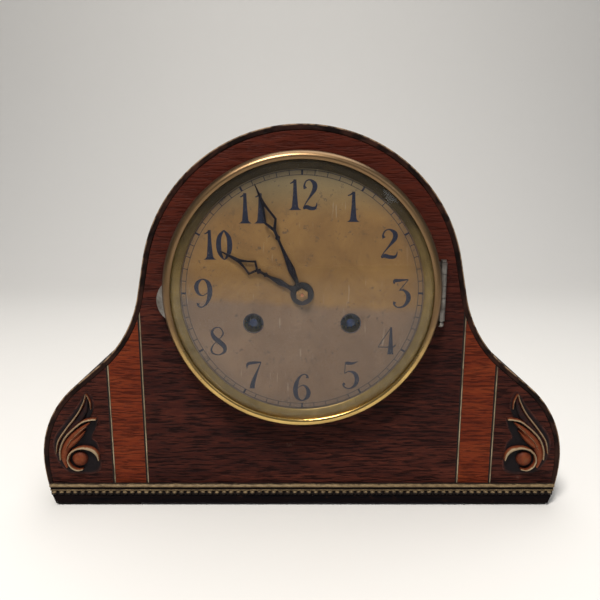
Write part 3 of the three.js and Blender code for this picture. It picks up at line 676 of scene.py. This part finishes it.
GROUND = [(126.6, 26), (131, 21.5), (139, 21), (147, 22), (153, 28), (156, 38), (154.5, 47), (147, 57), (139, 67),
          (133, 76), (129.5, 73), (128.5, 66), (131, 61), (126.6, 59.5), (128, 53), (131, 46), (127.5, 41)]
for side, label in ((-1, "left"), (1, "right")):
    scroll = Carving(side)
    ground = smooth_line(GROUND, 5, closed=True)
    middle = (140.0, 40.0)
    rings = [(1.0, 0.0), (1.0, -0.12), (0.93, -0.3), (0.82, -0.45)]
    verts = [(middle[0] + (x - middle[0]) * s, y, middle[1] + (z - middle[1]) * s)
             for s, y in rings for x, z in ground]
    # The sunk marks rise inward, painting the ground black towards its middle as painted shade.
    scroll.add(verts, ring_faces(4, len(ground)) + [list(range(len(ground))),
               list(range(3 * len(ground), 4 * len(ground)))], [0.05] * len(verts),
               [painted_shade for painted_shade in (0.03, 0.1, 0.55, 1.0) for _ in ground])
    scroll.sweep([(132.3, 72, .6), (134, 65, 1.9), (139, 57, 2.6), (146, 49, 2.6), (151, 41, 1.8), (152.5, 33, .6)],
                 1.5, 0.16, 0.03)
    scroll.sweep([(131.5, 56.5, .5), (137, 52, 1.9), (142.5, 46.5, 2.9), (147, 40, 3.0), (149, 33, 2.3),
                  (147.5, 26.5, .9)], 2.6, 0.66, 0.10)
    scroll.sweep([(134.5, 51, .3), (138.5, 46.5, 1.3), (142, 43.5, 1.9), (145, 40.5, 1.5)], 3.0, 0.66, 0.15)
    scroll.sweep([(132.5, 74.8, .35), (134.3, 69.5, .55), (138.5, 62, .6), (146, 52.5, .7), (151.7, 44, .7),
                  (153.4, 36, .35)], 2.9, 0.97, 0.2, 6)
    scroll.sweep([(132.5, 74.8, .3), (130.6, 70, .5), (130.2, 65, .25)], 1.8, 0.85, 0.2, 6)
    scroll.sweep([(127.2, 58.6, .55), (130.5, 58.4, .8), (135.5, 57.0, .7), (142, 52.0, .7), (147.5, 46, .75),
                  (150.7, 38.5, .75), (151, 32, .5)], 3.3, 1.02, 0.3, 6)
    scroll.sweep([(133.5, 54.3, .3), (138.5, 50, .4), (144, 44.5, .45), (147, 39, .3)], 3.3, 0.85, 0.3, 6)
    scroll.sweep([(127.2, 31.5, .5), (128.3, 35.3, 1.2), (131.3, 38.3, 1.45), (136.5, 39.6, 1.15), (141.5, 38.6, .9),
                  (145.2, 35.5, .8), (146.6, 31, .75), (145, 27, .7), (141.3, 24.8, .6), (137.5, 25.4, .4)],
                 3.2, 1.0, 0.3, 6)
    scroll.ball(139.4, 32, 5.0, 3.4, 0.66)
    piece("scroll_" + label, scroll.verts, scroll.faces, carved, "case", ["carving_" + label],
          marks={"worn": scroll.worn, "sunk": scroll.sunk}, angle=60)
    print("scroll", label, len(scroll.verts))

# %% [markdown]
# ## Metals
# Old lacquered brass is never one colour. Fingers brighten it where it is touched, air browns it where it
# is not, and polishing leaves fine lines round the turning. One recipe makes every metal here: two
# tarnish colours patched by slow noise, fine spin lines in the surface, and specks of dirt.

# %% Metal recipe
def metal(name, slot, bright, dull, rough=0.3, patch=55, amount=0.5, lines=(700, 700, 700), depth=0.00004):
    made = Finish(name, slot)
    slow = made.noise(made.place((1, 1, 1)), patch, 5, 0.62, 0.4)
    grain = made.noise(made.place(lines), 1.0, 3, 0.6)
    speck = made.noise(made.place((1, 1, 1)), 640, 3, 0.7).above(0.62, 0.7)
    share = ((slow - 0.5) * 2.2 + amount).clip()
    tone = made.mix(share, bright, dull)
    tone = made.mix(speck * 0.5, tone, tuple(c * 0.25 for c in dull))
    made.relief(grain, depth).set(
        Base_Color=tone, Metallic=1.0 - speck * 0.6, Roughness=rough + share * 0.14 + grain * 0.1 + speck * 0.2)
    return made, tone, share


movement_brass, _, _ = metal("movement_brass", "clean_brass", (0.62, 0.42, 0.15), (0.40, 0.25, 0.09), 0.24)
fitting_brass, _, _ = metal("fitting_brass", "aged_brass", (0.55, 0.38, 0.15), (0.20, 0.13, 0.06), 0.28)
dark_brass, _, _ = metal("nut_brass", "aged_brass", (0.36, 0.21, 0.08), (0.12, 0.07, 0.03), 0.3, 200, 0.5)
nickel, _, _ = metal("worn_nickel", "steel", (0.36, 0.34, 0.31), (0.10, 0.085, 0.075), 0.3, 120, 0.6)
blue_steel, _, _ = metal("blued_steel", "blued_steel", (0.024, 0.022, 0.030), (0.010, 0.009, 0.012), 0.32, 120, 0.5)
# The winding arbors are coloured dark navy so the winding holes read dark: painted shade inside the holes.
arbor_steel, _, _ = metal("arbor_steel", "steel", (0.035, 0.055, 0.135), (0.012, 0.016, 0.035), 0.3, 200, 0.5)
iron, _, _ = metal("blacked_iron", "black_iron", (0.035, 0.033, 0.034), (0.012, 0.010, 0.010), 0.5, 160, 0.5,
                   depth=0.0004)
copper, _, _ = metal("turned_copper", "copper", (0.62, 0.27, 0.14), (0.25, 0.10, 0.06), 0.26, 200, 0.3)

felt = Finish("felt", "felt")
fuzz = felt.noise(felt.place((1, 1, 1)), 900, 4, 0.8)
felt.relief(fuzz, 0.0006).set(Base_Color=felt.ramp(fuzz, (0.3, (0.008, 0.008, 0.007)), (0.7, (0.035, 0.032, 0.026))),
                              Roughness=0.92)
for node in ("foot_left", "foot_right"):
    dress(node, felt)
print("metals ready")

# %% [markdown]
# ## The bezel
# The bezel was spun from sheet brass into a fat rounded roll. Its upper half is coloured a darker bronze
# and the lower half golden. The height up the clock therefore steers the colour. Inside lies a plain sloping
# ring that holds the domed glass; its top is painted near black, a painted shadow of the roll.

# %% Bezel, sight ring and glass
bezel_brass, old_tone, tarnish = metal("bezel_brass", "aged_brass", (0.70, 0.48, 0.17), (0.42, 0.27, 0.09),
                                       0.14, 40, 0.4, (300, 900, 300))
upper = (bezel_brass.axis("Z") + (tarnish - 0.5) * 0.02).above(0.07, 0.12)
bezel_brass.set(Base_Color=bezel_brass.mix(upper * 0.93, old_tone, (0.165, 0.10, 0.055)),
                Roughness=0.15 + upper * 0.15 + tarnish * 0.1)

ring_brass, ring_tone, _ = metal("sight_brass", "aged_brass", (0.26, 0.18, 0.065), (0.13, 0.09, 0.035),
                                            0.3, 60, 0.4, (300, 900, 300))
# The top of the sight ring is painted near black: a painted shadow of the bezel roll.
painted_shade = ring_brass.axis("Z").above(0.13, 0.20) * 0.95
ring_brass.set(Base_Color=ring_brass.mix(painted_shade, ring_tone, (0.018, 0.014, 0.009)))

roll = rounded([(79.4, -1.8), (79.8, -5.6), (81.2, -8.4), (80.8, -11.1), (79.4, -13.2), (77.7, -14.0), (75.7, -13.2),
                (77.2, -12.5), (77.4, -9.4), (77.5, -1.8)], 1.2, 4)
verts, faces = turned(roll, segments=192)
piece("bezel_roll", verts, faces, bezel_brass, "bezel", ["bezel_ring"])
slope = rounded([(77.1, -10.5), (74.2, -10.1), (71, -8.9), (71, -8.4), (77.2, -9.8)], 0.25, 3)
verts, faces = turned(slope, segments=160)
piece("glass_seat", verts, faces, ring_brass, "bezel", ["sight_ring"])

clear = Finish("domed_glass", "glass")
smear = clear.noise(clear.place((1, 1, 1)), 28, 5, 0.7)
dust = clear.noise(clear.place((1, 1, 1)), 800, 3, 0.7).above(0.66, 0.74)
clear.set(Base_Color=clear.mix(dust, (0.90, 0.93, 0.92), (0.5, 0.47, 0.40)), Roughness=0.03 + smear * 0.06,
          Metallic=1.0 - dust, Alpha=dust * 0.04 + smear * 0.02 + 0.008)
RISE, GLASS_R, THICK = 9.0, 76.9, 1.4
sphere = (GLASS_R ** 2 + RISE ** 2) / (2 * RISE)


def dome(radius, back=0.0):
    """Depth of the glass at a radius, its rim lying at -12.2."""
    return -12.2 + back - (math.sqrt(sphere ** 2 - radius ** 2) - (sphere - RISE))


outside = [(r, dome(r)) for r in (0.02, 10, 20, 30, 40, 50, 58, 65, 70, 73.5, GLASS_R)]
inside = [(r, depth + THICK) for r, depth in reversed(outside)]
verts, faces = turned(outside + inside, segments=128, closed=True)
piece("domed_glass", verts, faces, clear, "bezel", ["bezel_glass"], angle=60)
dress("dial_pan", fitting_brass, 0.0)
print("bezel roll", len(roll), "profile points")

# %% [markdown]
# ## Hinge and pull
# The hinge at three o'clock has five knuckles on one steel pin that ends in a ball. At nine o'clock a thin
# crescent peeps from under the roll: that is the pull. All were nickel plated and have worn grey.

# %% Hinge and pull
for node in ("hinge_leaf_case", "hinge_leaf_bezel", "hinge_pin"):
    dress(node, nickel, 0.25)
dress("pull_tab", nickel, 0.45)
print("hinge dressed")

# %% [markdown]
# ## The dial
# The dial is a brass disc, once silvered. It is coloured brown above and grey below, and the change runs
# almost level under the middle. Brown spots and fine scratches lie over both, and the edge is darker. A paler
# grey band across the top is a painted reflection.

# %% Dial plate
dial = Finish("old_silvered_dial", "dial_metal")
up = dial.axis("Z") * 1000 - DIAL_Z
across = dial.axis("X") * 1000
cloud = dial.noise(dial.place((1, 1, 1)), 34, 5, 0.65, 0.5)
level = (up + 7.0 + (cloud - 0.5) * 5 + across * 0.05).above(-3.0, 3.0)
spots = dial.noise(dial.place((1, 1, 1)), 260, 4, 0.75).above(0.60, 0.69)
blot = dial.noise(dial.place((1, 1, 1)), 95, 4, 0.7).above(0.56, 0.72)
line = dial.noise(dial.place((420, 420, 40)), 1.0, 3, 0.6).above(0.64, 0.72)
from_edge = (up * up + across * across) ** 0.5
edge = from_edge.above(60, 72)
brown = dial.ramp(cloud, (0.3, (0.120, 0.060, 0.016)), (0.7, (0.215, 0.118, 0.034)))
grey = dial.ramp(cloud, (0.3, (0.100, 0.058, 0.032)), (0.7, (0.155, 0.095, 0.055)))
face_tone = dial.mix(level, grey, brown)
# A paler grey band across the top of the dial: a painted reflection of the ceiling.
face_tone = dial.mix((up.above(40, 66) * 0.55).clip(), face_tone, (0.145, 0.135, 0.075))
face_tone = dial.mix(edge * 0.35, face_tone, (0.07, 0.055, 0.04))
face_tone = dial.mix((spots * 0.7 + blot * 0.35).clip(), face_tone, (0.040, 0.026, 0.020))
face_tone = dial.mix(line * 0.25, face_tone, (0.36, 0.31, 0.24))
dial.relief(cloud * 0.3 - spots, 0.00003).set(
    Base_Color=face_tone, Metallic=0.3 - spots * 0.25, Roughness=0.46 + cloud * 0.16 + spots * 0.2)
dress("dial_plate", dial)
print("dial patina over", round(DIAL_Z), "mm")

# %% [markdown]
# ## Numbers and minute track
# The numbers stand upright and were printed in blue-black enamel, in a letter with very thick and very thin
# strokes. Each stroke is a line of points with a half width, so it swells and thins like a broad pen. The
# minute track is two rings with a tick for each minute, heavier at the fives.

# %% Numbers and track
enamel = Finish("blue_black_enamel", "blued_steel")
chip = enamel.noise(enamel.place((1, 1, 1)), 500, 4, 0.7)
enamel.relief(chip, 0.00005).set(
    Base_Color=enamel.mix(chip.above(0.6, 0.72) * 0.5, enamel.ramp(
        chip, (0.3, (0.007, 0.009, 0.020)), (0.7, (0.014, 0.016, 0.030))), (0.10, 0.07, 0.04)),
    Roughness=0.45 + chip * 0.3, Specular_IOR_Level=0.15)

DIGITS = {
    "0": [[(.31, .99, .02), (.13, .78, .065), (.08, .5, .08), (.13, .22, .065), (.31, .01, .02), (.49, .22, .065),
           (.54, .5, .08), (.49, .78, .065), (.31, .99, .02)]],
    "1": [[(.33, 1, .045), (.33, .6, .06), (.33, .25, .085), (.33, .08, .11), (.33, 0, .2)],
          [(.32, .97, .03), (.22, .9, .022), (.13, .87, .014)]],
    "2": [[(.13, .7, .055), (.09, .8, .03), (.16, .94, .02), (.32, .985, .025), (.5, .86, .07), (.5, .68, .07),
           (.34, .46, .035), (.16, .24, .018), (.05, .08, .014)],
          [(.05, .04, .03), (.17, .1, .06), (.34, .06, .06), (.5, .06, .05), (.58, .13, .025), (.6, .24, .01)]],
    "3": [[(.06, .82, .012), (.08, .93, .055), (.25, .95, .045), (.56, .975, .014)],
          [(.56, .975, .012), (.27, .62, .014)],
          [(.24, .6, .014), (.4, .61, .03), (.56, .46, .068), (.57, .25, .07), (.42, .05, .035), (.2, .015, .02),
           (.08, .12, .03), (.11, .2, .055)]],
    "4": [[(.47, 1, .03), (.47, .6, .055), (.47, .2, .08), (.47, .02, .1)], [(.46, .98, .012), (.24, .64, .012),
          (.03, .31, .012)], [(.02, .29, .014), (.3, .285, .016), (.56, .29, .03), (.66, .38, .008)]],
    "5": [[(.12, .92, .03), (.2, .94, .055), (.38, .93, .04), (.58, 1, .01)], [(.13, .93, .012), (.11, .56, .014)],
          [(.11, .56, .014), (.27, .64, .02), (.48, .56, .058), (.56, .36, .072), (.5, .14, .055), (.32, .01, .022),
           (.14, .04, .02), (.07, .14, .035), (.12, .2, .05)]],
    "6": [[(.5, .84, .05), (.5, .93, .03), (.38, .985, .018), (.22, .88, .035), (.11, .66, .065), (.07, .38, .078),
           (.13, .13, .06), (.31, .01, .02), (.49, .12, .055), (.55, .3, .07), (.48, .5, .045), (.33, .58, .016),
           (.15, .48, .012)]],
    "7": [[(.06, .74, .008), (.09, .9, .045), (.25, .95, .05), (.58, .97, .025)], [(.57, .96, .014), (.44, .66, .03),
          (.32, .36, .06), (.25, .12, .075), (.24, .01, .085)]],
    "8": [[(.5, .84, .02), (.4, .975, .016), (.22, .97, .022), (.11, .82, .045), (.18, .64, .07), (.36, .48, .08),
           (.54, .3, .07), (.54, .12, .045), (.34, .005, .018), (.13, .06, .028), (.07, .2, .03), (.16, .38, .016),
           (.38, .58, .014), (.5, .74, .024), (.5, .84, .02)]],
}
DIGITS["9"] = [[(.62 - x, 1 - z, w) for x, z, w in DIGITS["6"][0]]]
FACE = -8.0
verts, faces = [], []


def inked(path):
    """Lays one flat stroke along (across, up, half width) points, just proud of the dial."""
    start = len(verts)
    for index, (x, z, half) in enumerate(path):
        before, after = path[max(0, index - 1)], path[min(len(path) - 1, index + 1)]
        run = Vector((after[0] - before[0], after[1] - before[1])).normalized()
        for out, y in ((-1, FACE - 0.07), (1, FACE - 0.07), (1, FACE), (-1, FACE)):
            verts.append((x - run.y * half * out, y, z + run.x * half * out))
    faces.extend(tuple(start + i for i in face) for face in ring_faces(len(path), 4))
    faces.append([start + i for i in range(4)])
    faces.append([len(verts) - 4 + i for i in range(4)])


TALL = 17.0
for hour in range(1, 13):
    turn = math.radians(30 * hour)
    reach = 56.5 if hour in (10, 11, 12) else 57.5
    text = str(hour)
    wide = 10.2 if len(text) == 1 else 8.6
    for place, digit in enumerate(text):
        left = reach * math.sin(turn) - wide * len(text) / 2 + place * wide
        low = DIAL_Z + reach * math.cos(turn) - TALL / 2
        for stroke in DIGITS[digit]:
            inked([(left + x / 0.62 * wide, low + z * TALL, w * TALL * 1.08) for x, z, w in smooth_line(stroke, 6)])
for radius, half in ((70.3, 0.16), (67.6, 0.14)):
    inked([(radius * math.sin(math.radians(3 * i)), DIAL_Z + radius * math.cos(math.radians(3 * i)), half)
           for i in range(121)])
# Dark rings round the winding holes widen the dark of each hole: painted shade.
for x in (-28.6, 28.6):
    inked([(x + 5.75 * math.sin(math.radians(9 * i)), DIAL_Z - 18 + 5.75 * math.cos(math.radians(9 * i)), 0.3)
           for i in range(41)])
for minute in range(60):
    turn, half = math.radians(6 * minute), 0.55 if minute % 5 == 0 else 0.2
    inked([(r * math.sin(turn), DIAL_Z + r * math.cos(turn), half) for r in (67.6, 70.3)])
piece("dial_numbers", verts, faces, enamel, "case", angle=30)
print("strokes laid", len(verts))

# %% [markdown]
# ## Hands
# The hands are pierced from sheet steel: a stalk with a collar, swelling to a diamond with a kite-shaped
# window, then a long point. Their edges are filed soft, and heat turned the steel a deep blue, now nearly black.

# %% Hands
def hand(name, length, half_widths, window, boss, depth, turn, body, replaces):
    """A pierced hand from (share of length, share of half width) points, turned to where it stands."""
    right = [(w * length, s * length) for s, w in half_widths]
    round_boss = [(boss * math.sin(a), boss * math.cos(a)) for a in
                  (math.radians(14 + 332 * i / 40) for i in range(41))]
    outline = right + [(-x, z) for x, z in reversed(right)] + [(x, z) for x, z in reversed(round_boss)]
    hole = [(w * length, s * length) for s, w in window]
    spin = math.radians(turn)

    def turned_to(points):
        return [(x * math.cos(spin) + z * math.sin(spin), -x * math.sin(spin) + z * math.cos(spin))
                for x, z in points]

    return sawn(name, [turned_to(outline), turned_to(hole), circle(2.1, sides=32)], depth, depth + 0.6,
                blue_steel, body, [replaces], edge=0.16, shift=(0, DIAL_Z))


hand("minute_hand_steel", 68, [(.1, .014), (.23, .031), (.34, .018), (.45, .011), (.5, .011), (.52, .024),
     (.54, .012), (.585, .014), (.67, .057), (.75, .034), (.83, .016), (1, .003)],
     [(.615, 0), (.672, .036), (.8, 0), (.672, -.036)],
     3.7, -11.4, 337, "minute_arbor", "minute_hand")
hand("hour_hand_steel", 54, [(.17, .02), (.27, .034), (.39, .014), (.42, .014), (.44, .03), (.46, .014), (.5, .014),
     (.52, .036), (.54, .016), (.6, .089), (.68, .046), (.76, .022), (1, .004)],
     [(.56, 0), (.605, .06), (.73, 0), (.605, -.06)], 6.8, -9.8, 298, "hour_pipe", "hour_hand")
dress("hand_nut", dark_brass, 0.3)
dress("centre_arbor", copper)
print("hands made")

# %% [markdown]
# ## The movement and the back
# Inside, brass plates held by turned pillars carry the wheels on steel arbors. Nothing here shows from the
# front but the ends of the winding arbors; from behind, with the door open, all of it does.

# %% Movement finishes
for node in ("movement_plate_front", "movement_plate_back", "pillar_top_left", "pillar_top_right", "pillar_low_left",
             "pillar_low_right", "centre_wheel", "hour_wheel", "minute_wheel", "going_barrel", "intermediate_wheel",
             "third_wheel", "escape_wheel", "strike_barrel", "strike_wheel", "pendulum_bob", "turn_button",
             "rear_hinge_leaf_case", "rear_hinge_leaf_door"):
    dress(node, movement_brass, 0.15)
for node in ("movement_strap_top", "movement_strap_bottom", "cannon_pinion", "pendulum_rod", "pallets", "hammer",
             "gong_rod_front", "gong_rod_rear"):
    dress(node, nickel, 0.12)
for node in ("going_winding_arbor", "strike_winding_arbor"):
    dress(node, arbor_steel, 0.2)
dress("gong_block", iron, 0.8)


def screw_head(name, x, z, depth, facing, radius, finish, body, across=False):
    """A slotted countersunk head whose face lies at depth; facing is -1 towards the reader, 1 to the back."""
    profile = [(0.01, 0.0), (radius * 0.7, 0.02), (radius * 0.93, 0.1), (radius, 0.3), (radius, 0.7), (0.01, 0.7)]
    verts, faces = turned([(r, depth - facing * d) for r, d in profile], (x, z), 28)
    made = piece(name, verts, faces, finish, body, angle=40)
    slot_wide, slot_long = (radius * 2.2, 0.5) if across else (0.5, radius * 2.2)
    cutter_mesh = bpy.data.meshes.new(name + "_slot")
    work = bmesh.new()
    bmesh.ops.create_cube(work, size=1)
    for vert in work.verts:
        vert.co = (x * MM + vert.co.x * slot_wide * MM, PANEL + depth * MM + vert.co.y * 0.7 * MM,
                   z * MM + vert.co.z * slot_long * MM)
    work.to_mesh(cutter_mesh)
    work.free()
    cutter = bpy.data.objects.new(name + "_slot", cutter_mesh)
    bpy.context.scene.collection.objects.link(cutter)
    cut = made.modifiers.new("slot", "BOOLEAN")
    cut.object, cut.solver = cutter, "EXACT"
    bpy.context.view_layer.update()
    shaped = bpy.data.meshes.new_from_object(made.evaluated_get(bpy.context.evaluated_depsgraph_get()))
    made.modifiers.clear()
    made.data = shaped
    bpy.data.objects.remove(cutter)
    return made


for index, z in enumerate((93, 115, 137)):
    screw_head(f"case_leaf_screw_{index}", 67.5, z, DEPTH + 1.1, 1, 2.1, movement_brass, "case", index == 1)
    screw_head(f"door_leaf_screw_{index}", 49.5, z, DEPTH + 0.8, 1, 2.1, movement_brass, "back_door", index == 0)
for index, (x, z) in enumerate(((-150, 40), (150, 40), (-91, 112), (91, 112), (-50, 206), (50, 206), (0, 30))):
    screw_head(f"back_board_screw_{index}", x, z, DEPTH + 0.25, 1, 2.9, nickel, "case", index % 2 == 0)
left_bare = [name for name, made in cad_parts.items() if not made.hide_render and not made.data.materials]
print("nodes without a finish", left_bare)
